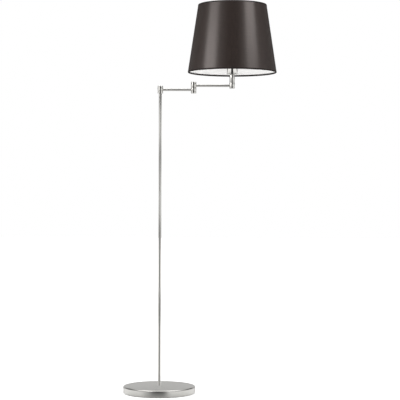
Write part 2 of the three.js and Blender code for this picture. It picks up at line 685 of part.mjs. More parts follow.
function buildShade(group) {
  const gap = HEM_RADIUS - COVER_THICKNESS;
  const flapOut = gap - FIT;
  const flapIn = flapOut - COVER_THICKNESS;
  const linerOut = flapIn - FIT;
  const linerIn = linerOut - LINER_THICKNESS;

  // the cover is rolled in round both wires, and its flaps are tucked between its wall and the liner
  const cover = [
    ...arc(...BOTTOM_WIRE.toArray(), HEM_RADIUS, SLOPE - HEM_WRAP, SLOPE, HEM_STEPS),
    ...arc(...TOP_WIRE.toArray(), HEM_RADIUS, SLOPE, SLOPE + HEM_WRAP, HEM_STEPS),
    offWall(TOP_WIRE, flapIn, -HEM_TUCK),
    offWall(TOP_WIRE, flapIn, -HEM_FLAP),
    offWall(TOP_WIRE, flapOut, -HEM_FLAP),
    offWall(TOP_WIRE, flapOut, -HEM_TUCK + COVER_THICKNESS),
    ...arc(...TOP_WIRE.toArray(), gap, SLOPE + Math.PI * 1.5, SLOPE, HEM_STEPS),
    ...arc(...BOTTOM_WIRE.toArray(), gap, SLOPE, SLOPE - Math.PI * 1.5, HEM_STEPS),
    offWall(BOTTOM_WIRE, flapOut, HEM_TUCK - COVER_THICKNESS),
    offWall(BOTTOM_WIRE, flapOut, HEM_FLAP),
    offWall(BOTTOM_WIRE, flapIn, HEM_FLAP),
    offWall(BOTTOM_WIRE, flapIn, HEM_TUCK),
  ];
  add(group, 'shade_cover', turned([...cover, cover[0]], SIDES_LARGE), darkFabric());

  // the liner's ends lean over the rolled hems
  const linerEnd = HEM_TUCK + FIT;
  const liner = [
    offWall(BOTTOM_WIRE, linerIn, linerEnd - LINER_THICKNESS),
    offWall(BOTTOM_WIRE, linerOut, linerEnd),
    offWall(TOP_WIRE, linerOut, -linerEnd),
    offWall(TOP_WIRE, linerIn, -linerEnd + LINER_THICKNESS),
  ];
  add(group, 'shade_liner', turned([...liner, liner[0]], SIDES_LARGE), whiteLiner());

  [['shade_bottom_ring', BOTTOM_WIRE], ['shade_top_ring', TOP_WIRE]].forEach(([name, wire]) => {
    const section = arc(...wire.toArray(), RING_WIRE_RADIUS, 0, Math.PI * 2, 5);
    add(group, name, turned(section, SIDES_LARGE), whitePaint());
  });

  const fitterLow = FITTER_Z - FITTER_THICKNESS / 2;
  const fitterHigh = FITTER_Z + FITTER_THICKNESS / 2;
  const fitter = ring(HOLDER_RADIUS + 0.6, FITTER_RADIUS, fitterLow, fitterHigh, SIDES_HUB);
  add(group, 'shade_fitter_ring', fitter, whitePaint());

  // three straight spokes rise from the hem to the fitter ring; the first points to the rear
  const spokeStart = new THREE.Vector2(FITTER_RADIUS + 0.3, FITTER_Z);
  const hemInside = offWall(BOTTOM_WIRE, linerIn - 0.8, HEM_TUCK + 2.3);
  const run = hemInside[0] - spokeStart.x;
  const drop = spokeStart.y - hemInside[1];
  const tilt = Math.atan2(drop, run);
  const spokes = ['shade_spoke_rear', 'shade_spoke_left', 'shade_spoke_right'];
  spokes.forEach((name, i) => {
    const spoke = disc(RING_WIRE_RADIUS, 0, Math.hypot(run, drop) - 1, SIDES_LEAD)
      .rotateY(Math.PI / 2 + tilt)
      .translate(spokeStart.x, 0, spokeStart.y)
      .rotateZ(Math.PI / 2 + i * Math.PI * 2 / spokes.length);
    add(group, name, spoke, whitePaint());
  });
}

// ---------------------------------------------------------------- the lamp

const lamp = new THREE.Group();
buildBase(lamp);
buildPole(lamp);
buildPoleHubFixed(lamp);

const lowerArm = new THREE.Group();
lamp.add(lowerArm);
buildLowerArm(lowerArm);

const upperArm = new THREE.Group();
upperArm.position.x = ELBOW_X;
lamp.add(upperArm);
buildUpperArm(upperArm);

const head = new THREE.Group();
head.position.x = HEAD_X;
lamp.add(head);
buildHead(head);
buildLampholder(head);
buildBulb(head);
buildShade(head);

export default lamp;
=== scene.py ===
"""Looks of the swing-arm floor lamp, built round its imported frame.

Metres in Blender; outlines below are in millimetres and are scaled as their meshes are made.
+X runs along the arms at rest, +Y to the rear, +Z up.
"""

import json
import math

import bmesh
import bpy
from mathutils import Matrix, Vector


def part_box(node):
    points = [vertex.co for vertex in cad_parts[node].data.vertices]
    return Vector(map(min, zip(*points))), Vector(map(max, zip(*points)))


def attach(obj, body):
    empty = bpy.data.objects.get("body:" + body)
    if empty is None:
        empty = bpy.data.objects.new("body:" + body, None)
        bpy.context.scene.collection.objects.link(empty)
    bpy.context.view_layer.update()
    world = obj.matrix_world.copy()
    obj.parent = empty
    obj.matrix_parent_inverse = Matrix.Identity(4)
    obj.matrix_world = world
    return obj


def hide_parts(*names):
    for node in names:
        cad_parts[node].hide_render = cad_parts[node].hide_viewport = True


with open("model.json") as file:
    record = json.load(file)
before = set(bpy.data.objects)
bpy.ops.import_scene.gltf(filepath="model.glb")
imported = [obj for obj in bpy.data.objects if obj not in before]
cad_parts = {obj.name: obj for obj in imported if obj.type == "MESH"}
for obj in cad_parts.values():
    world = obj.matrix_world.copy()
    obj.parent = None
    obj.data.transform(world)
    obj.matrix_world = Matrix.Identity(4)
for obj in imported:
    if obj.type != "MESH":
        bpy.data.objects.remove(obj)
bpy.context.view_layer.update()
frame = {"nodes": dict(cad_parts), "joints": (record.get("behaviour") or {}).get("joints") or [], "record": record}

# ------------------------------------------------------------------ places and sizes, from the frame

MM = 0.001


def span(node):
    """A CAD node's lowest and highest corners, in millimetres."""
    low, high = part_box(node)
    return low / MM, high / MM


def joint_place(name):
    """Where a joint's axis stands, in millimetres."""
    return next(Vector(j["pos_m"]) / MM for j in frame["joints"] if j["name"] == name)


BASE_LOW, BASE_HIGH = span("base_shell")
PAD_HIGH = span("base_pad")[1]
BASE_RADIUS = BASE_HIGH.x
POLE_AXIS = joint_place("pole_swivel")
ELBOW_AXIS = joint_place("elbow_swivel")
CUP_LOW, CUP_HIGH = span("lampholder_cup")
HEAD_AXIS = (CUP_LOW + CUP_HIGH) / 2
HUB_AXES = (POLE_AXIS, ELBOW_AXIS, HEAD_AXIS)
LOWER_ARM_Z = POLE_AXIS.z
UPPER_ARM_Z = ELBOW_AXIS.z
# what starts below this height stands in the base or on it
FOOT_HEIGHT = BASE_HIGH.z + 1

# clearance between pieces that touch
FIT = 0.2
WIRE_RADIUS = 1.5
COVER_THICKNESS = 1.0
HEM_RADIUS = WIRE_RADIUS + FIT + COVER_THICKNESS
SEAM_ANGLE = math.radians(90)


def wire_centre(node):
    """A wire ring's centre line, as (radius, height) in millimetres."""
    low, high = span(node)
    return Vector(((high.x - low.x) / 2 - WIRE_RADIUS, (low.z + high.z) / 2))


BOTTOM_WIRE = wire_centre("shade_bottom_ring")
TOP_WIRE = wire_centre("shade_top_ring")
SLOPE = math.atan2(BOTTOM_WIRE.x - TOP_WIRE.x, TOP_WIRE.y - BOTTOM_WIRE.y)

# ------------------------------------------------------------------ camera

CAMERA_DISTANCE = 5.57
CAMERA_HEIGHT = 0.822
CAMERA_RIGHT = 0.1661
CAMERA_LENS = 120.88
CAMERA_PITCH = math.radians(-0.216)
CAMERA_ROLL = math.radians(0.21)


def make_camera():
    data = bpy.data.cameras.new("camera")
    data.sensor_width = 36
    data.lens = CAMERA_LENS
    data.clip_start = 0.1
    data.clip_end = 100
    camera = bpy.data.objects.new("camera", data)
    bpy.context.scene.collection.objects.link(camera)
    camera.location = (CAMERA_RIGHT, -CAMERA_DISTANCE, CAMERA_HEIGHT)
    facing = Matrix.Rotation(math.pi / 2 + CAMERA_PITCH, 4, "X")
    camera.rotation_euler = (facing @ Matrix.Rotation(CAMERA_ROLL, 4, "Z")).to_euler()
    bpy.context.scene.camera = camera


# ------------------------------------------------------------------ outlines


def arc(centre, radius, start, end, steps):
    """Points on an arc, both ends included."""
    angles = [start + (end - start) * i / steps for i in range(steps + 1)]
    return [(centre[0] + radius * math.cos(a), centre[1] + radius * math.sin(a)) for a in angles]


def soften(corners, steps=4):
    """A closed outline in which each corner given as (r, z, fillet) is rounded to that fillet."""
    points = []
    for i, (r, z, *fillet) in enumerate(corners):
        here = Vector((r, z))
        if not fillet:
            points.append((r, z))
            continue
        before = (Vector(corners[i - 1][:2]) - here).normalized()
        after = (Vector(corners[(i + 1) % len(corners)][:2]) - here).normalized()
        half = before.angle(after) / 2
        centre = here + (before + after).normalized() * (fillet[0] / math.sin(half))
        reach = fillet[0] / math.tan(half)
        first = here + before * reach - centre
        last = here + after * reach - centre
        for step in range(steps + 1):
            point = centre + first.lerp(last, step / steps).normalized() * fillet[0]
            points.append(tuple(point))
    return points


def ring_outline(inner, outer, low, high, fillet=0.3):
    return soften([(inner, low), (outer, low, fillet), (outer, high, fillet), (inner, high)])


# ------------------------------------------------------------------ meshes

SMOOTH_BELOW = math.radians(35)


def mesh_object(name, bm):
    bmesh.ops.recalc_face_normals(bm, faces=bm.faces)
    mesh = bpy.data.meshes.new(name)
    bm.to_mesh(mesh)
    bm.free()
    mesh.polygons.foreach_set("use_smooth", [True] * len(mesh.polygons))
    mesh.set_sharp_from_angle(angle=SMOOTH_BELOW)
    piece = bpy.data.objects.new(name, mesh)
    bpy.context.scene.collection.objects.link(piece)
    return piece


def even_angles(count):
    return [2 * math.pi * i / count for i in range(count)]


def turned(name, outline, angles=96, place=Matrix.Identity(4), warp=None):
    """A body turned round Z from a closed outline of (radius, height), then put in place.

    Two neighbouring points on the axis close the body there. warp(angle, r, z) returns a moved (r, z).
    """
    angles = even_angles(angles) if isinstance(angles, int) else angles
    bm = bmesh.new()
    rings = []
    for r, z in outline:
        if r < 1e-6:
            rings.append([bm.verts.new((0, 0, z))] * len(angles))
            continue
        ring = []
        for angle in angles:
            wr, wz = warp(angle, r, z) if warp else (r, z)
            ring.append(bm.verts.new((wr * math.cos(angle), wr * math.sin(angle), wz)))
        rings.append(ring)
    for j, ring in enumerate(rings):
        above = rings[(j + 1) % len(rings)]
        for i in range(len(angles)):
            k = (i + 1) % len(angles)
            corners = list(dict.fromkeys([ring[i], ring[k], above[k], above[i]]))
            if len(corners) > 2:
                bm.faces.new(corners)
    bm.transform(Matrix.Scale(MM, 4) @ place)
    return mesh_object(name, bm)


def at(x=0, y=0, z=0):
    return Matrix.Translation((x, y, z))


ALONG_X = Matrix.Rotation(math.pi / 2, 4, "Y")
ALONG_Y = Matrix.Rotation(-math.pi / 2, 4, "X")


def drill(piece, *cutters):
    """Cuts the cutters away from the piece and removes them."""
    for cutter in cutters:
        modifier = piece.modifiers.new("drill", "BOOLEAN")
        modifier.object = cutter
        modifier.operation = "DIFFERENCE"
        modifier.solver = "EXACT"
    graph = bpy.context.evaluated_depsgraph_get()
    mesh = bpy.data.meshes.new_from_object(piece.evaluated_get(graph))
    piece.modifiers.clear()
    piece.data = mesh
    mesh.polygons.foreach_set("use_smooth", [True] * len(mesh.polygons))
    mesh.set_sharp_from_angle(angle=SMOOTH_BELOW)
    for cutter in cutters:
        bpy.data.objects.remove(cutter)


def drill_rod(radius, start, end, place):
    return turned("cutter", [(0, start), (radius, start), (radius, end), (0, end)], 48, place)


def settle(piece, body, slot, material, *nodes):
    """Gives a piece its material and body, and hides the CAD nodes it stands for."""
    piece.data.materials.clear()
    piece.data.materials.append(material)
    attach(piece, body)
    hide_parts(*nodes)


# ------------------------------------------------------------------ material nodes


def new_material(name):
    material = bpy.data.materials.new(name)
    material.use_nodes = True
    tree = material.node_tree
    shader = tree.nodes["Principled BSDF"]
    return material, tree, shader


def put(tree, kind, inputs=None, **settings):
    """A node with its settings, whose inputs are values or other nodes' outputs."""
    node = tree.nodes.new(kind)
    for key, value in settings.items():
        setattr(node, key, value)
    for key, value in (inputs or {}).items():
        feed(tree, node.inputs[key], value)
    return node


def feed(tree, socket, value):
    if isinstance(value, bpy.types.NodeSocket):
        tree.links.new(value, socket)
    else:
        socket.default_value = value


def calc(tree, operation, first, second=0.0):
    return put(tree, "ShaderNodeMath", {0: first, 1: second}, operation=operation).outputs[0]


def times(tree, first, second):
    return calc(tree, "MULTIPLY", first, second)


def ease(tree, value, low, high, out_low=0.0, out_high=1.0):
    """A smooth step from out_low to out_high as value goes from low to high."""
    inputs = {"Value": value, "From Min": low, "From Max": high, "To Min": out_low, "To Max": out_high}
    return put(tree, "ShaderNodeMapRange", inputs, interpolation_type="SMOOTHSTEP").outputs[0]


def spread(tree, value, out_low, out_high):
    """A straight line from out_low to out_high as value goes from 0 to 1."""
    inputs = {"Value": value, "To Min": out_low, "To Max": out_high}
    return put(tree, "ShaderNodeMapRange", inputs).outputs[0]


def join(tree, x, y, z):
    return put(tree, "ShaderNodeCombineXYZ", {0: x, 1: y, 2: z}).outputs[0]


def noise(tree, vector, scale, detail=3.0, roughness=0.55):
    inputs = {"Vector": vector, "Scale": scale, "Detail": detail, "Roughness": roughness}
    return put(tree, "ShaderNodeTexNoise", inputs).outputs["Fac"]


def bump(tree, height, strength, distance):
    inputs = {"Height": height, "Strength": strength, "Distance": distance}
    return put(tree, "ShaderNodeBump", inputs).outputs[0]


def mix_colour(tree, factor, first, second):
    node = put(tree, "ShaderNodeMix", data_type="RGBA")
    feed(tree, node.inputs[0], factor)
    feed(tree, node.inputs[6], first)
    feed(tree, node.inputs[7], second)
    return node.outputs[2]


def round_place(tree, centre, axis="z"):
    """(turn, along, out) of a point on a round piece: radians round its axis, metres along and off it."""
    coords = put(tree, "ShaderNodeTexCoord").outputs["Object"]
    inputs = {0: coords, 1: tuple(-c * MM for c in centre)}
    moved = put(tree, "ShaderNodeVectorMath", inputs, operation="ADD").outputs[0]
    x, y, z = put(tree, "ShaderNodeSeparateXYZ", {0: moved}).outputs
    across, side, along = (x, y, z) if axis == "z" else (y, z, x)
    out = calc(tree, "SQRT", calc(tree, "ADD", times(tree, across, across), times(tree, side, side)))
    turn = calc(tree, "ARCTAN2", side, across)
    return turn, along, out


# ------------------------------------------------------------------ materials

NICKEL = (0.70, 0.69, 0.66, 1)
NICKEL_DULL = (0.60, 0.59, 0.565, 1)
# turn of the anisotropic gloss, as a share of a full one
ACROSS = 0.25


def brushed_nickel(name, centre, axis="z", lengthwise=False, roughness=0.17, drawn_out=0.5, painted_brightness=1.0):
    """Satin nickel with fine brush lines round the piece, or along it; its last argument brightens or darkens its
    colour per part: painted light and shade.
    """
    material, tree, shader = new_material(name)
    turn, along, out = round_place(tree, centre, axis)
    fine, coarse = 2600.0, 24.0
    lines_round, lines_along = 60.0, 30.0
    if lengthwise:
        lines = join(tree, times(tree, turn, lines_round), times(tree, along, lines_along), 0.0)
    else:
        lines = join(tree, turn, times(tree, along, fine), times(tree, out, fine))
    grain = noise(tree, lines, 1.0, 2.0)
    patches = noise(tree, join(tree, turn, times(tree, along, coarse), out), 3.0, 2.0)
    # painted light and shade: the colour is scaled up for parts that should look brightly lit and down for those
    # that should look shaded
    dull, bright = (tuple(c * painted_brightness for c in colour[:3]) + (1,) for colour in (NICKEL_DULL, NICKEL))
    feed(tree, shader.inputs["Base Color"], mix_colour(tree, spread(tree, patches, 0.0, 1.0), dull, bright))
    worn = calc(tree, "ADD", spread(tree, grain, -0.05, 0.05), spread(tree, patches, -0.03, 0.03))
    feed(tree, shader.inputs["Roughness"], calc(tree, "ADD", worn, roughness))
    feed(tree, shader.inputs["Normal"], bump(tree, grain, 0.06, 0.00003))
    shader.inputs["Metallic"].default_value = 1.0
    if not lengthwise:
        shader.inputs["Anisotropic"].default_value = drawn_out
        shader.inputs["Anisotropic Rotation"].default_value = ACROSS
    return material


def plain_metal(name, colour, roughness, grain_scale=900.0):
    material, tree, shader = new_material(name)
    coords = put(tree, "ShaderNodeTexCoord").outputs["Object"]
    grain = noise(tree, coords, grain_scale)
    darker = tuple(c * 0.8 for c in colour[:3]) + (1,)
    feed(tree, shader.inputs["Base Color"], mix_colour(tree, grain, darker, colour))
    feed(tree, shader.inputs["Roughness"], spread(tree, grain, roughness - 0.06, roughness + 0.08))
    feed(tree, shader.inputs["Normal"], bump(tree, grain, 0.15, 0.0001))
    shader.inputs["Metallic"].default_value = 1.0
    return material


def moulded(name, colour, roughness, grain_scale=1200.0, depth=0.0001, specular=0.5):
    """Plastic, paint, rubber or foam: a colour with a fine moulded or sprayed grain."""
    material, tree, shader = new_material(name)
    coords = put(tree, "ShaderNodeTexCoord").outputs["Object"]
    grain = noise(tree, coords, grain_scale)
    cloud = noise(tree, coords, 18.0, 2.0)
    darker = tuple(c * 0.93 for c in colour[:3]) + (1,)
    feed(tree, shader.inputs["Base Color"], mix_colour(tree, cloud, darker, colour))
    feed(tree, shader.inputs["Roughness"], spread(tree, grain, roughness - 0.05, roughness + 0.06))
    feed(tree, shader.inputs["Normal"], bump(tree, grain, 0.2, depth))
    shader.inputs["Specular IOR Level"].default_value = specular
    return material


def cast_iron(name):
    material, tree, shader = new_material(name)
    coords = put(tree, "ShaderNodeTexCoord").outputs["Object"]
    sand = noise(tree, coords, 700.0, 5.0, 0.7)
    rust = ease(tree, noise(tree, coords, 25.0, 4.0), 0.55, 0.7)
    black, rusty = (0.03, 0.03, 0.032, 1), (0.055, 0.035, 0.025, 1)
    feed(tree, shader.inputs["Base Color"], mix_colour(tree, rust, black, rusty))
    feed(tree, shader.inputs["Roughness"], spread(tree, sand, 0.55, 0.85))
    feed(tree, shader.inputs["Normal"], bump(tree, sand, 0.6, 0.0006))
    shader.inputs["Metallic"].default_value = 0.4
    return material


DARK_THREAD = (0.032, 0.021, 0.0176, 1)
LIGHT_THREAD = (0.052, 0.035, 0.029, 1)
# the shade's radius about half-way up, in metres, by which a turn round it becomes a length of cloth
CLOTH_RADIUS = 0.16


def cloth_place(tree):
    """(length round the shade, height) of a point on its cloth, in metres."""
    turn, along = round_place(tree, HEAD_AXIS)[:2]
    return times(tree, turn, CLOTH_RADIUS), along


def satin_cover(name):
    """Dark brown satin whose glossy floats run round the shade, so its gloss is narrow and tall."""
    material, tree, shader = new_material(name)
    arc_length, along = cloth_place(tree)
    thread_pitch = 0.00055
    thread = 2 * math.pi / thread_pitch
    warp = calc(tree, "SINE", times(tree, arc_length, thread))
    weft = calc(tree, "SINE", times(tree, along, thread * 0.8))
    weave = spread(tree, times(tree, warp, weft), 0.0, 1.0)
    slub_place = join(tree, times(tree, arc_length, 18.0), times(tree, along, 900.0), 0.0)
    slubs = noise(tree, slub_place, 1.0, 2.0)
    warp_place = join(tree, times(tree, arc_length, 900.0), times(tree, along, 12.0), 0.0)
    warp_lines = noise(tree, warp_place, 1.0, 2.0)
    cloth = calc(tree, "ADD", times(tree, slubs, 0.5), times(tree, warp_lines, 0.5))
    tone = ease(tree, cloth, 0.3, 0.7)
    feed(tree, shader.inputs["Base Color"], mix_colour(tree, tone, DARK_THREAD, LIGHT_THREAD))
    feed(tree, shader.inputs["Roughness"], spread(tree, cloth, 0.33, 0.41))
    height = calc(tree, "ADD", times(tree, weave, 0.6), cloth)
    feed(tree, shader.inputs["Normal"], bump(tree, height, 0.12, 0.00008))
    shader.inputs["IOR"].default_value = 1.9
    shader.inputs["Metallic"].default_value = 0.45
    shader.inputs["Anisotropic"].default_value = 0.75
    shader.inputs["Anisotropic Rotation"].default_value = ACROSS
    return material


def hem_binding(name):
    """Matte twill tape that binds the shade's rims, ribbed on the bias."""
    material, tree, shader = new_material(name)
    arc_length, along = cloth_place(tree)
    rib_pitch = 0.0008
    rib = 2 * math.pi / rib_pitch
    bias = times(tree, calc(tree, "ADD", arc_length, along), rib)
    ribs = spread(tree, calc(tree, "SINE", bias), 0.0, 1.0)
    fibre_place = join(tree, times(tree, arc_length, 700.0), times(tree, along, 700.0), 0.0)
    fibre = noise(tree, fibre_place, 1.0)
    tone = times(tree, calc(tree, "ADD", ribs, fibre), 0.5)
    darker, lighter = (0.014, 0.010, 0.009, 1), (0.026, 0.019, 0.017, 1)
    feed(tree, shader.inputs["Base Color"], mix_colour(tree, tone, darker, lighter))
    feed(tree, shader.inputs["Roughness"], spread(tree, tone, 0.8, 0.7))
    feed(tree, shader.inputs["Normal"], bump(tree, tone, 0.25, 0.0002))
    shader.inputs["IOR"].default_value = 1.3
    return material


def white_lining(name):
    """White laminated lining with a faint weave showing through."""
    material, tree, shader = new_material(name)
    arc_length, along = cloth_place(tree)
    place = join(tree, times(tree, arc_length, 900.0), times(tree, along, 900.0), 0.0)
    grain = noise(tree, place, 1.0, 3.0)
    darker, lighter = (0.86, 0.85, 0.84, 1), (0.93, 0.925, 0.92, 1)
    feed(tree, shader.inputs["Base Color"], mix_colour(tree, grain, darker, lighter))
    feed(tree, shader.inputs["Roughness"], spread(tree, grain, 0.5, 0.65))
    feed(tree, shader.inputs["Normal"], bump(tree, grain, 0.1, 0.0001))
    return material


def opal_glass(name):
    material, tree, shader = new_material(name)
    coords = put(tree, "ShaderNodeTexCoord").outputs["Object"]
    cloud = noise(tree, coords, 40.0, 2.0)
    darker, lighter = (0.86, 0.85, 0.81, 1), (0.92, 0.91, 0.88, 1)
    feed(tree, shader.inputs["Base Color"], mix_colour(tree, cloud, darker, lighter))
    feed(tree, shader.inputs["Roughness"], spread(tree, cloud, 0.12, 0.2))
    shader.inputs["Subsurface Weight"].default_value = 0.3
    shader.inputs["Subsurface Radius"].default_value = (0.01, 0.01, 0.01)
    return material


# each part's nickel colour is scaled by its own painted brightness, giving lit and shaded copies of one metal:
# painted light and shade
POLE_METAL = brushed_nickel("nickel_pole", (0, 0, 0), lengthwise=True, roughness=0.16, painted_brightness=0.9)
BASE_METAL = brushed_nickel("nickel_base", (0, 0, 0), roughness=0.3, drawn_out=0.4, painted_brightness=1.03)
CUP_METAL = brushed_nickel("nickel_cup", HEAD_AXIS, roughness=0.1, drawn_out=0.3, painted_brightness=1.02)
HUB_METAL = [brushed_nickel(f"nickel_hub_{i}", axis) for i, axis in enumerate(HUB_AXES)]
ARM_FINISH = {"axis": "x", "lengthwise": True, "roughness": 0.3, "painted_brightness": 1.25}
LOWER_ARM_METAL = brushed_nickel("nickel_lower_arm", (0, 0, LOWER_ARM_Z), **ARM_FINISH)
UPPER_ARM_METAL = brushed_nickel("nickel_upper_arm", (0, 0, UPPER_ARM_Z), **ARM_FINISH)
ZINC = plain_metal("zinc_plate", (0.56, 0.57, 0.58, 1), 0.36)
BRASS = plain_metal("brass", (0.66, 0.48, 0.22, 1), 0.3)
IRON = cast_iron("cast_iron")
FOAM = moulded("foam_pad", (0.02, 0.02, 0.021, 1), 0.9, grain_scale=1500.0, depth=0.0004, specular=0.2)
RUBBER = moulded("grommet_rubber", (0.018, 0.018, 0.018, 1), 0.7, specular=0.3)
WHITE_PAINT = moulded("white_paint", (0.80, 0.80, 0.78, 1), 0.38)
WHITE_PLASTIC = moulded("white_plastic", (0.80, 0.79, 0.76, 1), 0.35)
SHEATH = moulded("lead_sheath", (0.74, 0.73, 0.70, 1), 0.45)
CLOTH = satin_cover("shade_satin")
BINDING = hem_binding("shade_binding")
LINING = white_lining("shade_lining")
OPAL = opal_glass("opal_glass")

SLOT_MATERIALS = {
    "zinc_steel": ZINC,
    "brass": BRASS,
    "cast_iron": IRON,
    "foam_pad": FOAM,
    "grommet_rubber": RUBBER,
    "white_paint": WHITE_PAINT,
    "white_plastic": WHITE_PLASTIC,
    "lead_sheath": SHEATH,
    "opal_glass": OPAL,
    "shade_fabric": CLOTH,
    "shade_liner": LINING,
    "nickel": BASE_METAL,
}


def dress_frame():
    """Every CAD node gets its slot's material, so that those that stay in view are finished.

    The base and the foot of the pole aren't mirrored in each other, nor is what is inside them.
    """
    slots = {s["node"]: s["material_slot"] for s in frame["record"]["subparts"]}
    for name, node in frame["nodes"].items():
        node.data.materials.clear()
        node.data.materials.append(SLOT_MATERIALS[slots[name]])
        if span(name)[0].z < FOOT_HEIGHT:
            node.visible_glossy = False


# ------------------------------------------------------------------ base


def build_shell(cord_z):
    """The spun cover, whose wall leans in towards its rim, with the cord's hole at the rear."""
    thickness, fillet = 1.2, 5.0
    lean, half_way_lean, lean_height = 1.1, 0.35, 16
    cord_hole = 4.7
    radius, top, rim = BASE_RADIUS, BASE_HIGH.z, BASE_LOW.z
    inside, ceiling = radius - thickness, top - thickness
    pole_hole = span("pole_foot_nipple")[1].x + FIT
    shell = turned("base_shell_spun", soften([
        (pole_hole, ceiling), (inside, ceiling, fillet - thickness), (inside, rim + lean_height),
        (inside - 1, rim, 0.4), (radius - lean, rim, 0.6),
        (radius - half_way_lean, rim + lean_height / 2), (radius, rim + lean_height),
        (radius, top, fillet), (pole_hole, top),
    ], 8), 256)
    drill(shell, drill_rod(cord_hole, radius - 8, radius + 4, at(0, 0, cord_z) @ ALONG_Y))
    settle(shell, "stand", "nickel", BASE_METAL, "base_shell")
    return shell


def build_pad():
    pad = turned("base_pad_foam", soften([
        (0, 0), (PAD_HIGH.x, 0, 0.8), (PAD_HIGH.x, PAD_HIGH.z, 0.3), (0, PAD_HIGH.z),
    ]), 160)
    settle(pad, "stand", "foam_pad", FOAM, "base_pad")
    return pad


def build_grommet(low, high, cord_z):
    """The cord's bushing, whose lip lies against the shell's outer wall."""
    bore, neck, inner_face = 3.3, 4.5, BASE_RADIUS - 4
    lip, lip_face = (high.x - low.x) / 2, BASE_RADIUS + 0.4
    grommet = turned("cord_outlet_bushing", soften([
        (bore, inner_face, 0.4), (neck, inner_face), (neck, lip_face), (lip, lip_face, 0.4),
        (lip - 0.4, high.y, 0.7), (bore, high.y, 0.7),
    ]), 48, at(0, 0, cord_z) @ ALONG_Y)
    settle(grommet, "stand", "grommet_rubber", RUBBER, "cord_outlet_grommet")
    return grommet


def build_base():
    low, high = span("cord_outlet_grommet")
    cord_z = (low.z + high.z) / 2
    for piece in (build_shell(cord_z), build_pad(), build_grommet(low, high, cord_z)):
        piece.visible_glossy = False


# ------------------------------------------------------------------ pole and arms


def build_tubes():
    wall, edge = 1, 0.25
    for name in ("pole_lower_section", "pole_middle_section", "pole_upper_section"):
        low, high = span(name)
        outline = ring_outline(high.x - wall, high.x, low.z, high.z, edge)
        tube = turned(f"{name}_tube", outline, 48)
        settle(tube, "stand", "nickel", POLE_METAL, name)
        tube.visible_glossy = low.z > FOOT_HEIGHT
    arms = (
        ("lower_arm_tube", "lower_arm", LOWER_ARM_Z, LOWER_ARM_METAL),
        ("upper_arm_tube", "upper_arm", UPPER_ARM_Z, UPPER_ARM_METAL),
    )
    for name, body, z, metal in arms:
        low, high = span(name)
        radius = (high.z - low.z) / 2
        outline = ring_outline(radius - wall, radius, low.x, high.x, edge)
        settle(turned(f"{name}_drawn", outline, 48, at(0, 0, z) @ ALONG_X), body, "nickel", metal, name)


# ------------------------------------------------------------------ hubs

HUB_RADIUS = 11.0
SOCKET_RADIUS = 5.2
SOCKET_FLOOR = 6.3
SCREW_HOLE_RADIUS = 1.5


def socket_cutter(axis, z, side):
    """The round hole in a knuckle for its arm's tube, towards +X or -X."""
    start, end = sorted((side * SOCKET_FLOOR, side * (HUB_RADIUS + 3)))
    return drill_rod(SOCKET_RADIUS, start, end, at(axis.x, 0, z) @ ALONG_X)


def screw_hole(node, axis, start):
    """The round hole for a set screw, from start out through the hub's rear."""
    low, high = span(node)
    place = at(axis.x, 0, (low.z + high.z) / 2) @ ALONG_Y
    return drill_rod(SCREW_HOLE_RADIUS, start, HUB_RADIUS + 2, place)


def knuckle(node, axis, body, metal, arm_z, side):
    """A turning ring of a hub, bored for its spindle."""
    bore = 4.3
    low, high = span(node)
    piece = turned(f"{node}_turned", ring_outline(bore, HUB_RADIUS, low.z, high.z, 0.45), 96, at(axis.x))
    drill(piece, socket_cutter(axis, arm_z, side))
    settle(piece, body, "nickel", metal, node)


def cap(node, axis, body, metal, upwards=True):
    """A hub's end cap: a shallow dome over a recess that covers the spindle's end."""
    low, high = span(node)
    height = high.z - low.z
    recess, recess_top, dome = 8.7, height - 2.5, 0.3
    outline = soften([
        (0, recess_top), (recess, recess_top, 0.5), (recess, 0), (HUB_RADIUS, 0, 0.45),
        (HUB_RADIUS, height - dome, 1.1), (0, height),
    ], 6)
    turn = Matrix.Identity(4) if upwards else Matrix.Rotation(math.pi, 4, "X")
    place = at(axis.x, 0, low.z if upwards else high.z) @ turn
    settle(turned(f"{node}_domed", outline, 96, place), body, "nickel", metal, node)


def grub_screw(node, body, axis):
    """A set screw with a hexagon socket, its mouth to the rear."""
    radius, key_radius, key_depth = 1.3, 0.75, 1.5
    low, high = span(node)
    place = at(axis.x, 0, (low.z + high.z) / 2) @ ALONG_Y
    outline = soften([(0, low.y), (radius, low.y, 0.2), (radius, high.y, 0.25), (0, high.y)])
    screw = turned(f"{node}_socket", outline, 32, place)
    floor, mouth = high.y - key_depth, high.y + 1
    key = [(0, floor), (key_radius, floor), (key_radius, mouth), (0, mouth)]
    drill(screw, turned("cutter", key, 6, place))
    settle(screw, body, "zinc_steel", ZINC, node)


def build_pole_hub(metal):
    """The fixed collar on the pole's top, the lower arm's knuckle and the cap."""
    low, high = span("pole_top_collar")
    pole_high = span("pole_upper_section")[1]
    spindle_bore, socket, socket_top = 4.2, pole_high.x + FIT, pole_high.z + FIT
    collar = turned("pole_top_collar_turned", soften([
        (spindle_bore, socket_top), (socket, socket_top), (socket, low.z),
        (HUB_RADIUS, low.z, 1.0), (HUB_RADIUS, high.z, 0.45), (spindle_bore, high.z),
    ], 6), 96)
    drill(collar, screw_hole("collar_grub_screw", POLE_AXIS, 6))
    settle(collar, "stand", "nickel", metal, "pole_top_collar")
    grub_screw("collar_grub_screw", "stand", POLE_AXIS)
    knuckle("pole_knuckle", POLE_AXIS, "lower_arm", metal, LOWER_ARM_Z, 1)
    cap("pole_hub_cap", POLE_AXIS, "stand", metal)


def build_elbow(metal):
    """The knuckles of both arms between two caps."""
    cap("elbow_bottom_cap", ELBOW_AXIS, "lower_arm", metal, upwards=False)
    knuckle("elbow_lower_knuckle", ELBOW_AXIS, "lower_arm", metal, LOWER_ARM_Z, -1)
    knuckle("elbow_upper_knuckle", ELBOW_AXIS, "upper_arm", metal, UPPER_ARM_Z, 1)
    cap("elbow_top_cap", ELBOW_AXIS, "lower_arm", metal)


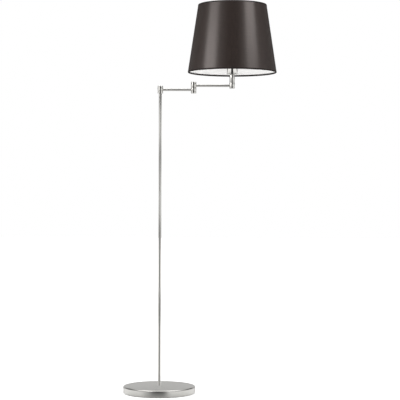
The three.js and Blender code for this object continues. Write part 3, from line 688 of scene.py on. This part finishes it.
def build_head(metal):
    """The upright knuckle at the upper arm's end, the plug that closes it and the stem on top."""
    place = at(HEAD_AXIS.x)
    low, high = span("head_knuckle")
    piece = turned("head_knuckle_turned", ring_outline(5, HUB_RADIUS, low.z, high.z, 0.25), 96, place)
    drill(piece, socket_cutter(HEAD_AXIS, UPPER_ARM_Z, -1), screw_hole("head_grub_screw", HEAD_AXIS, 4))
    settle(piece, "upper_arm", "nickel", metal, "head_knuckle")
    grub_screw("head_grub_screw", "upper_arm", HEAD_AXIS)

    spigot, seat = 4.7, low.z - FIT
    low, high = span("head_bottom_plug")
    plug = turned("head_bottom_plug_turned", soften([
        (0, low.z), (HUB_RADIUS, low.z, 1.0), (HUB_RADIUS, seat, 0.2),
        (spigot, seat), (spigot, high.z), (0, high.z),
    ], 6), 96, place)
    settle(plug, "upper_arm", "nickel", metal, "head_bottom_plug")

    low, high = span("head_stem")
    stem = turned("head_stem_turned", ring_outline(8, HUB_RADIUS, low.z, high.z, 0.25), 96, place)
    settle(stem, "upper_arm", "nickel", metal, "head_stem")


# ------------------------------------------------------------------ lampholder and bulb


def build_cup():
    """The drawn cover under the lampholder."""
    radius = (CUP_HIGH.x - CUP_LOW.x) / 2
    low, high = CUP_LOW.z, CUP_HIGH.z
    bore, wall = 4.9, 1
    cup = turned("lampholder_cup_drawn", soften([
        (bore, low), (radius, low, 2.2), (radius, high, 0.4),
        (radius - wall, high, 0.4), (radius - wall, low + wall, 1.2), (bore, low + wall),
    ], 8), 128, at(HEAD_AXIS.x))
    settle(cup, "upper_arm", "nickel", CUP_METAL, "lampholder_cup")


def build_lampholder_body():
    """The moulded body: a flange, and a skirt whose thread takes the ring nut."""
    low, high = span("lampholder_body")
    flange = (high.x - low.x) / 2
    flange_low = CUP_HIGH.z + 0.6
    flange_top = span("shade_fitter_ring")[0].z - FIT
    carrier_top = span("lampholder_screw_shell")[0].z - 0.3
    bore, skirt, depth, pitch, edge = 15.6, 19.6, 1.0, 2.5, 0.4
    root = skirt - depth
    thread = []
    z = flange_top + 1.0
    while z < high.z - 3.5:
        thread += [(root, z), (skirt, z + pitch * 0.3), (skirt, z + pitch * 0.5), (root, z + pitch * 0.8)]
        z += pitch
    outline = [(0, low.z), (root, low.z), (root, flange_low), (flange - edge, flange_low)]
    outline += [(flange, flange_low + edge), (flange, flange_top - edge), (flange - edge, flange_top)]
    outline += [(root, flange_top), *thread, (root, high.z - 2 * edge), (root - 2 * edge, high.z)]
    outline += [(bore + 0.3, high.z), (bore, high.z - edge), (bore, carrier_top), (0, carrier_top)]
    body = turned("lampholder_body_moulded", outline, 96, at(HEAD_AXIS.x))
    settle(body, "upper_arm", "white_plastic", WHITE_PLASTIC, "lampholder_body")


def build_ring_nut():
    """The nut that holds the shade, ribbed for the fingers between two smooth bands."""
    low, high = span("shade_ring_nut")
    radius = (high.x - low.x) / 2
    bore, band, ribs, rib_depth = 20, 1.3, 36, 0.7

    def ribbed(angle, r, z):
        between_bands = low.z + band - 0.1 < z < high.z - band + 0.1
        if between_bands and r > radius - 1:
            r -= rib_depth * (1 - math.cos(ribs * angle)) / 2
        return r, z

    nut = turned("shade_ring_nut_ribbed", soften([
        (bore, low.z), (radius, low.z, 0.6), (radius, low.z + band),
        (radius, high.z - band), (radius, high.z, 0.6), (bore, high.z),
    ], 3), ribs * 8, at(HEAD_AXIS.x), ribbed)
    settle(nut, "upper_arm", "white_plastic", WHITE_PLASTIC, "shade_ring_nut")


def build_bulb_cap():
    """The screw cap, whose rounded thread is drawn as rings."""
    low, high = span("bulb_cap")
    radius = (high.x - low.x) / 2
    pitch, depth, turns, steps = 3.6, 0.9, 5, 8
    thread = []
    for i in range(turns * steps):
        wave = (1 - math.cos(2 * math.pi * i / steps)) / 2
        thread.append((radius - depth * wave, low.z + 3.2 + pitch * i / steps))
    outline = [(0, low.z), (5, low.z), (10, low.z + 1.6), (radius - 0.8, low.z + 2.4), *thread]
    outline += [(radius - 0.5, high.z - 2), (radius - 0.5, high.z), (0, high.z)]
    bulb_cap = turned("bulb_cap_threaded", outline, 96, at(HEAD_AXIS.x))
    settle(bulb_cap, "upper_arm", "zinc_steel", ZINC, "bulb_cap")


def build_bulb_envelope():
    """The blown glass: a neck along one curve, which runs into the round globe below its equator."""
    low, high = span("bulb_envelope")
    globe = (high.x - low.x) / 2
    globe_z = high.z - globe
    meet = 0.32
    controls = [
        Vector((13, low.z)), Vector((13.5, low.z + 14)), Vector((globe * 0.86, globe_z - 24)),
        Vector((globe * math.cos(meet), globe_z - globe * math.sin(meet))),
    ]
    neck = []
    for i in range(16):
        t = i / 15
        weights = ((1 - t) ** 3, 3 * t * (1 - t) ** 2, 3 * t * t * (1 - t), t ** 3)
        neck.append(tuple(sum((c * w for c, w in zip(controls, weights)), Vector((0, 0)))))
    dome = arc((0, globe_z), globe, -meet, math.pi / 2, 28)[1:-1]
    outline = [(0, low.z), *neck, *dome, (0, high.z)]
    envelope = turned("bulb_envelope_blown", outline, 96, at(HEAD_AXIS.x))
    settle(envelope, "upper_arm", "opal_glass", OPAL, "bulb_envelope")


# ------------------------------------------------------------------ shade

OUT = Vector((math.cos(SLOPE), math.sin(SLOPE)))
UP = Vector((-math.sin(SLOPE), math.cos(SLOPE)))
WALL = (TOP_WIRE - BOTTOM_WIRE).length
MEAN_RADIUS = (BOTTOM_WIRE.x + TOP_WIRE.x) / 2
# how far the binding reaches round its wire, in degrees
HEM_WRAP = 240
HEM_TUCK = 5.0
HEM_FLAP = 12.0
LAP_WIDTH = 9.0
LAP_RISE = 0.45
# half the angle over which the lap's edge rises, in radians
LAP_STEP = 0.0015
TAPE_RISE = 0.25
TAPE_EDGE = 2.9
LINING_THICKNESS = 0.8

# how far each layer stands off the wires' centres, from the cover's inner face inwards
WALL_IN = HEM_RADIUS - COVER_THICKNESS
FLAP_OUT = WALL_IN - FIT
FLAP_IN = FLAP_OUT - COVER_THICKNESS
LINING_OUT = FLAP_IN - FIT
LINING_IN = LINING_OUT - LINING_THICKNESS


def off_wall(wire, out, up):
    return tuple(wire + OUT * out + UP * up)


def seam_angles(count):
    """Even angles, with extra ones close to the lap seam's two edges."""
    half = LAP_WIDTH / 2 / MEAN_RADIUS
    near = [SEAM_ANGLE + side * half + LAP_STEP * i for side in (-1, 1) for i in range(-2, 3)]
    return sorted(even_angles(count) + near)


def seam_rise(angle):
    """How far the outer layer of the lap seam stands out at an angle."""
    half = LAP_WIDTH / 2 / MEAN_RADIUS
    t = min(max((half + LAP_STEP - abs(angle - SEAM_ANGLE)) / (2 * LAP_STEP), 0), 1)
    return LAP_RISE * t * t * (3 - 2 * t)


def wander(angle, height):
    """The trace by which a hand-laminated shade is out of round."""
    return 0.12 * math.sin(3 * angle + 1.0 + 2 * height) + 0.06 * math.sin(7 * angle - 3 * height)


def wall_height(z):
    """0 at the bottom wire, 1 at the top one."""
    return (z - BOTTOM_WIRE.y) / (TOP_WIRE.y - BOTTOM_WIRE.y)


def build_cover():
    """The cloth wall, whose edges end between the two wires."""
    rows = [WALL * i / 24 for i in range(25)]
    outline = [off_wall(BOTTOM_WIRE, HEM_RADIUS, up) for up in rows]
    outline += [off_wall(BOTTOM_WIRE, WALL_IN, up) for up in reversed(rows)]

    def tailored(angle, r, z):
        """The lap seam, and the trace of out-of-round."""
        height = wall_height(z)
        wall_r = BOTTOM_WIRE.x + (TOP_WIRE.x - BOTTOM_WIRE.x) * height
        rise = seam_rise(angle) if r > wall_r + WALL_IN + 0.3 else 0
        return r + wander(angle, height) + rise, z

    cover = turned("shade_cover_cloth", outline, seam_angles(288), at(HEAD_AXIS.x), tailored)
    settle(cover, "upper_arm", "shade_fabric", CLOTH, "shade_cover")
    cover.visible_glossy = False
    return cover


def build_binding(name, wire, inward):
    """The tape rolled round a wire and the wall's edge, its flap tucked between wall and lining.

    inward is 1 where the wall lies above the wire, and -1 where it lies below.
    """
    def place(out, up):
        return off_wall(wire, out, inward * up)

    def roll(radius, start, end, steps):
        angles = [math.radians(start + (end - start) * i / steps) for i in range(steps + 1)]
        return [place(radius * math.cos(a), radius * math.sin(a)) for a in angles]

    proud = HEM_RADIUS + TAPE_RISE
    glued = HEM_RADIUS + 0.02
    outline = roll(HEM_RADIUS, -HEM_WRAP, -45, 18)
    outline += [place(proud - 0.1, -1.0), place(proud, 0), place(proud, TAPE_EDGE - 0.15)]
    outline += [place(HEM_RADIUS + 0.1, TAPE_EDGE), place(glued, TAPE_EDGE)]
    outline += [place(glued, -0.15), place(WALL_IN, -0.15)]
    outline += roll(WALL_IN, -10, -270, 16)
    outline += [place(FLAP_OUT, HEM_TUCK - COVER_THICKNESS), place(FLAP_OUT, HEM_FLAP)]
    outline += [place(FLAP_IN, HEM_FLAP), place(FLAP_IN, HEM_TUCK)]

    def puckered(angle, r, z):
        """The cloth's out-of-round, its seam, and small puckers on the inner half of the roll."""
        pucker = 0.15 * abs(math.sin(52 * angle) * math.sin(19 * angle + 0.6)) if r < wire.x - 0.1 else 0
        rise = seam_rise(angle) if r > wire.x + WALL_IN + 0.3 else 0
        return r + wander(angle, wall_height(z)) + rise - pucker, z

    tape = turned(name, outline, seam_angles(288), at(HEAD_AXIS.x), puckered)
    settle(tape, "upper_arm", "shade_fabric", BINDING, "shade_cover")
    tape.visible_glossy = False
    return tape


def build_lining():
    """The white lining, whose ends lean over the rolled hems."""
    end = HEM_TUCK + FIT
    lean = LINING_OUT - LINING_IN
    outline = []
    for out, low in ((LINING_OUT, end), (LINING_IN, end - lean)):
        rows = [off_wall(BOTTOM_WIRE, out, low + (WALL - 2 * low) * i / 16) for i in range(17)]
        outline += rows if out == LINING_OUT else reversed(rows)

    def trued(angle, r, z):
        return r + wander(angle, wall_height(z)), z

    lining = turned("shade_lining_sheet", outline, 192, at(HEAD_AXIS.x), trued)
    settle(lining, "upper_arm", "shade_liner", LINING, "shade_liner")
    lining.visible_glossy = False


def wire_rod(name, start, end, radius, blob_radius):
    """A straight wire between two points, with a rounded weld at each end."""
    start, end = Vector(start), Vector(end)
    length = (end - start).length
    outline = [(0, 0), (radius * 0.8, 0), (blob_radius, 0.8), (blob_radius, 2.0), (radius, 3.6)]
    outline += [(r, length - z) for r, z in reversed(outline)]
    turn = (end - start).to_track_quat("Z", "Y").to_matrix().to_4x4()
    return turned(name, outline, 20, Matrix.Translation(start) @ turn)


def build_wires():
    place = at(HEAD_AXIS.x)
    for node, wire in (("shade_bottom_ring", BOTTOM_WIRE), ("shade_top_ring", TOP_WIRE)):
        outline = arc(wire, WIRE_RADIUS, 0, 2 * math.pi, 16)[:-1]
        settle(turned(f"{node}_wire", outline, 192, place), "upper_arm", "white_paint", WHITE_PAINT, node)

    low, high = span("shade_fitter_ring")
    radius = (high.x - low.x) / 2
    bore = 20.3
    fitter = turned("shade_fitter_ring_pressed", ring_outline(bore, radius, low.z, high.z, 0.4), 96, place)
    settle(fitter, "upper_arm", "white_paint", WHITE_PAINT, "shade_fitter_ring")

    fitter_z = (low.z + high.z) / 2
    hem_low, hem_high = span("shade_spoke_rear")
    reach = hem_high.y
    hem_z = hem_low.z + WIRE_RADIUS
    for i, name in enumerate(("shade_spoke_rear", "shade_spoke_left", "shade_spoke_right")):
        angle = math.pi / 2 + i * 2 * math.pi / 3
        toward = Vector((math.cos(angle), math.sin(angle), 0))
        start = Vector((HEAD_AXIS.x, 0, fitter_z)) + toward * (radius + FIT)
        end = Vector((HEAD_AXIS.x, 0, hem_z)) + toward * reach
        spoke = wire_rod(f"{name}_wire", start, end, WIRE_RADIUS, WIRE_RADIUS * 1.25)
        settle(spoke, "upper_arm", "white_paint", WHITE_PAINT, name)


# ------------------------------------------------------------------ light and floor

# where each part of the studio lies: turns in degrees to the right of the camera's direction from the
# lamp, heights in degrees above the horizon
GAP_LEVEL = (-24, 22)
GAP_LOW = (-46, 30)
FORWARD_END = 105
SIDES_END = 140
FRONT_RAISED_END = 50
FRONT_OVERHEAD_END = 45
SIDE_TOP = 3.0
SIDE_TOP_FORWARD = 9.5
CEILING = 42
CEILING_REAR = 36
CEILING_SOFT = 14
DIP_HEIGHTS = (-3, 1.8)
GAP_LOW_HEIGHTS = (-3, -6)
REAR_LOW_HEIGHTS = (-6, -2)
UNDERNEATH_HEIGHTS = (-11, -17)
# radiance of each part
DARK = 0.04
DARK_LOW = 0.33
SIDE_LEVEL = 1.3
SIDE_RAISED = 0.05
FRONT_RAISED = 0.03
REAR_LEVEL = 0.06
REAR_LOW = 0.95
OVERHEAD = 2.4
OVERHEAD_FRONT = 0.6
OVERHEAD_REAR = 1.4
UNDERNEATH = 0.5
# what the horizon keeps of the level light
HORIZON_DIP = 0.4


def window(tree, value, low, high, soft):
    """1 between low and high and 0 outside, with edges that ease over soft on either side."""
    rise = ease(tree, value, low - soft, low + soft)
    fall = ease(tree, value, high - soft, high + soft, 1.0, 0.0)
    return times(tree, rise, fall)


def blend_value(tree, factor, first, second):
    node = put(tree, "ShaderNodeMix", data_type="FLOAT")
    feed(tree, node.inputs[0], factor)
    feed(tree, node.inputs[2], first)
    feed(tree, node.inputs[3], second)
    return node.outputs[0]


def make_world():
    """A white studio, with a dark gap in front for the camera."""
    world = bpy.data.worlds.new("studio")
    bpy.context.scene.world = world
    world.use_nodes = True
    tree = world.node_tree
    direction = put(tree, "ShaderNodeTexCoord").outputs["Generated"]
    x, y, z = put(tree, "ShaderNodeSeparateXYZ", {0: direction}).outputs
    azimuth = calc(tree, "DEGREES", calc(tree, "ARCTAN2", x, times(tree, y, -1.0)))
    elevation = calc(tree, "DEGREES", calc(tree, "ARCSINE", z))

    sides = window(tree, azimuth, -SIDES_END, SIDES_END, 8)
    low_rear = ease(tree, elevation, *REAR_LOW_HEIGHTS, REAR_LOW, REAR_LEVEL)
    level = blend_value(tree, sides, low_rear, SIDE_LEVEL)
    low_gap = times(tree, window(tree, azimuth, *GAP_LOW, 12), ease(tree, elevation, *GAP_LOW_HEIGHTS))
    level = blend_value(tree, low_gap, level, DARK_LOW)
    level = blend_value(tree, window(tree, azimuth, *GAP_LEVEL, 4), level, DARK)
    dip = window(tree, elevation, *DIP_HEIGHTS, 1.8)
    level = times(tree, level, spread(tree, dip, 1.0, HORIZON_DIP))

    raised = blend_value(tree, sides, REAR_LEVEL, SIDE_RAISED)
    front = window(tree, azimuth, -FRONT_RAISED_END, FRONT_RAISED_END, 30)
    raised = blend_value(tree, front, raised, FRONT_RAISED)

    forward = window(tree, azimuth, -FORWARD_END, FORWARD_END, 12)
    above = calc(tree, "SUBTRACT", elevation, spread(tree, forward, SIDE_TOP, SIDE_TOP_FORWARD))
    light = blend_value(tree, ease(tree, above, 0, 3), level, raised)

    overhead = blend_value(tree, sides, OVERHEAD_REAR, OVERHEAD)
    front = window(tree, azimuth, -FRONT_OVERHEAD_END, FRONT_OVERHEAD_END, 15)
    overhead = blend_value(tree, front, overhead, OVERHEAD_FRONT)
    ceiling = calc(tree, "SUBTRACT", elevation, spread(tree, sides, CEILING_REAR, CEILING))
    light = blend_value(tree, ease(tree, ceiling, 0, CEILING_SOFT), light, overhead)
    light = blend_value(tree, ease(tree, elevation, *UNDERNEATH_HEIGHTS), light, UNDERNEATH)

    is_camera = put(tree, "ShaderNodeLightPath").outputs["Is Camera Ray"]
    strength = blend_value(tree, is_camera, light, 1.0)
    background = tree.nodes["Background"]
    feed(tree, background.inputs["Strength"], strength)
    background.inputs["Color"].default_value = (1.0, 1.0, 1.0, 1)


CARD_PLACE = Vector((0.1, 3.0, 0.72))
CARD_SIZE = (6.0, 1.4)
CARD_RADIANCE = 0.56
PANEL_DISTANCE = 1.2
# each corner panel: degrees to the right of the camera, width, height of its middle, its own height, radiance
CORNER_PANELS = {
    "panel_left": (-59, 0.72, 1.71, 0.42, 5.3),
    "panel_right": (55, 0.72, 2.08, 0.46, 5.1),
}


def soft_panel(name, place, size, aim, radiance):
    """A soft box that lights and is mirrored but isn't itself in view."""
    data = bpy.data.lights.new(name, "AREA")
    data.shape = "RECTANGLE"
    data.size, data.size_y = size
    data.energy = radiance * math.pi * size[0] * size[1]
    panel = bpy.data.objects.new(name, data)
    bpy.context.scene.collection.objects.link(panel)
    panel.location = place
    panel.rotation_euler = (Vector(aim) - Vector(place)).to_track_quat("-Z", "Y").to_euler()
    panel.visible_camera = False


def make_lights():
    """A low white card behind the lamp, which the base's top mirrors, and a panel at each front corner."""
    soft_panel("card_behind", CARD_PLACE, CARD_SIZE, (CARD_PLACE.x, 0, CARD_PLACE.z), CARD_RADIANCE)
    for name, (azimuth, width, middle, height, radiance) in CORNER_PANELS.items():
        turn = math.radians(azimuth)
        aim = Vector((HEAD_AXIS.x * MM, 0, middle))
        place = aim + Vector((math.sin(turn), -math.cos(turn), 0)) * PANEL_DISTANCE
        soft_panel(name, place, (width, height), aim, radiance)


def make_floor():
    radius, depth = 20000, 5
    floor = turned("floor", [(0, 0), (radius, 0), (radius, -depth), (0, -depth)], 64)
    material, tree, shader = new_material("pale_floor")
    coords = put(tree, "ShaderNodeTexCoord").outputs["Object"]
    cloud = noise(tree, coords, 0.8, 2.0)
    darker, lighter = (0.90, 0.90, 0.90, 1), (0.93, 0.93, 0.93, 1)
    feed(tree, shader.inputs["Base Color"], mix_colour(tree, cloud, darker, lighter))
    shader.inputs["Roughness"].default_value = 0.9
    shader.inputs["Specular IOR Level"].default_value = 0.0
    shader.inputs["Emission Color"].default_value = (1.0, 1.0, 1.0, 1)
    shader.inputs["Emission Strength"].default_value = 0.6
    floor.data.materials.append(material)
    floor.visible_glossy = False


def set_colour():
    view = bpy.context.scene.view_settings
    view.view_transform = "Standard"
    view.look = "None"


# ------------------------------------------------------------------ the lamp

make_camera()
set_colour()
make_world()
make_lights()
make_floor()
dress_frame()
build_base()
build_tubes()
build_pole_hub(HUB_METAL[0])
build_elbow(HUB_METAL[1])
build_head(HUB_METAL[2])
build_cup()
build_lampholder_body()
build_ring_nut()
build_bulb_cap()
build_bulb_envelope()
BINDINGS = [
    build_binding("shade_bottom_binding", BOTTOM_WIRE, 1),
    build_binding("shade_top_binding", TOP_WIRE, -1),
]
build_cover()
build_lining()
build_wires()
